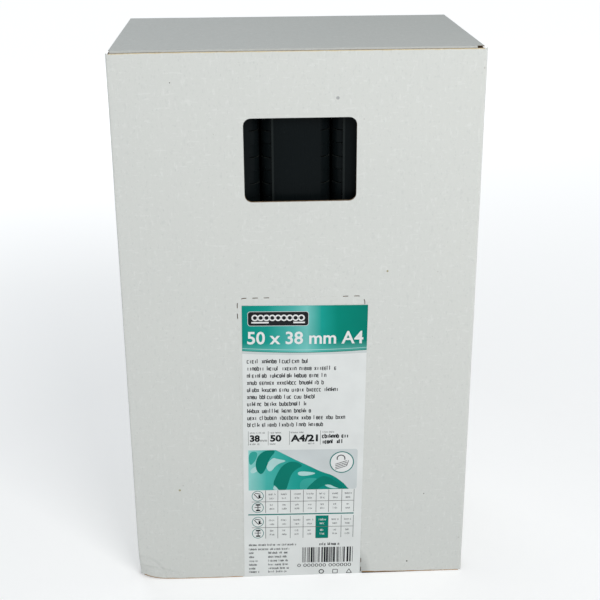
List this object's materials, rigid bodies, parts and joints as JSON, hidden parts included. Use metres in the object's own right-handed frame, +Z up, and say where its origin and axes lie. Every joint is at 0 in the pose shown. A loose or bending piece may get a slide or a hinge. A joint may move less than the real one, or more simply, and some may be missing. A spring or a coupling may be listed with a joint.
{
  "type": "carton of plastic binding combs",
  "caption": "Straight-tuck carton with a window and a tear-out door, packed with nested oval plastic binding combs; lid, base and flaps fold.",
  "frame": {"origin": "middle of the carton's underside, on the surface it stands on", "axes": "+X to the right seen from the front, the front wall faces -Y, +Z up the carton's long direction"},
  "size_m": [0.194, 0.1302, 0.314],
  "materials": {
    "white_lined_board": "matte white liner over brown flutes",
    "label_paper": "satin printed paper",
    "comb_plastic": "glossy black"
  },
  "bodies": {
    "carton_and_combs": {"front_wall": "white_lined_board", "back_wall": "white_lined_board", "left_wall": "white_lined_board", "right_wall": "white_lined_board", "glue_flap": "white_lined_board", "tear_out_door": "white_lined_board", "label": "label_paper", "comb_a1_front": "comb_plastic", "comb_a1_partner": "comb_plastic", "comb_b1_front": "comb_plastic", "comb_b1_partner": "comb_plastic", "comb_c1_front": "comb_plastic", "comb_c1_partner": "comb_plastic", "comb_d1_front": "comb_plastic", "comb_d1_partner": "comb_plastic", "comb_e1_front": "comb_plastic", "comb_e1_partner": "comb_plastic", "comb_pair_a2": "comb_plastic", "comb_pair_b2": "comb_plastic", "comb_pair_c2": "comb_plastic", "comb_pair_d2": "comb_plastic", "comb_pair_e2": "comb_plastic", "comb_pair_a3": "comb_plastic", "comb_pair_b3": "comb_plastic", "comb_pair_c3": "comb_plastic", "comb_pair_d3": "comb_plastic", "comb_pair_e3": "comb_plastic", "comb_pair_a4": "comb_plastic", "comb_pair_b4": "comb_plastic", "comb_pair_c4": "comb_plastic", "comb_pair_d4": "comb_plastic", "comb_pair_e4": "comb_plastic", "comb_pair_a5": "comb_plastic", "comb_pair_b5": "comb_plastic", "comb_pair_c5": "comb_plastic", "comb_pair_d5": "comb_plastic", "comb_pair_e5": "comb_plastic"},
    "lid": {"lid_panel": "white_lined_board"},
    "lid_tuck": {"lid_tuck_flap": "white_lined_board"},
    "lid_dust_left": {"lid_dust_flap_left": "white_lined_board"},
    "lid_dust_right": {"lid_dust_flap_right": "white_lined_board"},
    "base": {"base_panel": "white_lined_board"},
    "base_tuck": {"base_tuck_flap": "white_lined_board"},
    "base_dust_left": {"base_dust_flap_left": "white_lined_board"},
    "base_dust_right": {"base_dust_flap_right": "white_lined_board"}
  },
  "joints": [
    {"name": "lid_hinge", "type": "hinge", "parent": "carton_and_combs", "child": "lid", "pos_m": [0, 0.06513, 0.314], "axis": [-1, 0, 0], "range_deg": [0, 170]},
    {"name": "lid_tuck_fold", "type": "hinge", "parent": "lid", "child": "lid_tuck", "pos_m": [0, -0.06283, 0.314], "axis": [-1, 0, 0], "range_deg": [0, 51]},
    {"name": "lid_dust_fold_left", "type": "hinge", "parent": "carton_and_combs", "child": "lid_dust_left", "pos_m": [-0.097, 0, 0.3121], "axis": [0, -1, 0], "range_deg": [0, 85]},
    {"name": "lid_dust_fold_right", "type": "hinge", "parent": "carton_and_combs", "child": "lid_dust_right", "pos_m": [0.097, 0, 0.3121], "axis": [0, 1, 0], "range_deg": [0, 85]},
    {"name": "base_hinge", "type": "hinge", "parent": "carton_and_combs", "child": "base", "pos_m": [0, 0.06513, 0], "axis": [1, 0, 0], "range_deg": [0, 170]},
    {"name": "base_tuck_fold", "type": "hinge", "parent": "base", "child": "base_tuck", "pos_m": [0, -0.06283, 0], "axis": [1, 0, 0], "range_deg": [0, 51]},
    {"name": "base_dust_fold_left", "type": "hinge", "parent": "carton_and_combs", "child": "base_dust_left", "pos_m": [-0.097, 0, 0.0019], "axis": [0, 1, 0], "range_deg": [0, 85]},
    {"name": "base_dust_fold_right", "type": "hinge", "parent": "carton_and_combs", "child": "base_dust_right", "pos_m": [0.097, 0, 0.0019], "axis": [0, -1, 0], "range_deg": [0, 85]}
  ],
  "couplings": [
    {"joint": "lid_tuck_fold", "follows": "lid_hinge", "ratio": 0.3},
    {"joint": "lid_dust_fold_left", "follows": "lid_hinge", "ratio": 0.5},
    {"joint": "lid_dust_fold_right", "follows": "lid_hinge", "ratio": 0.5},
    {"joint": "base_tuck_fold", "follows": "base_hinge", "ratio": 0.3},
    {"joint": "base_dust_fold_left", "follows": "base_hinge", "ratio": 0.5},
    {"joint": "base_dust_fold_right", "follows": "base_hinge", "ratio": 0.5}
  ]
}
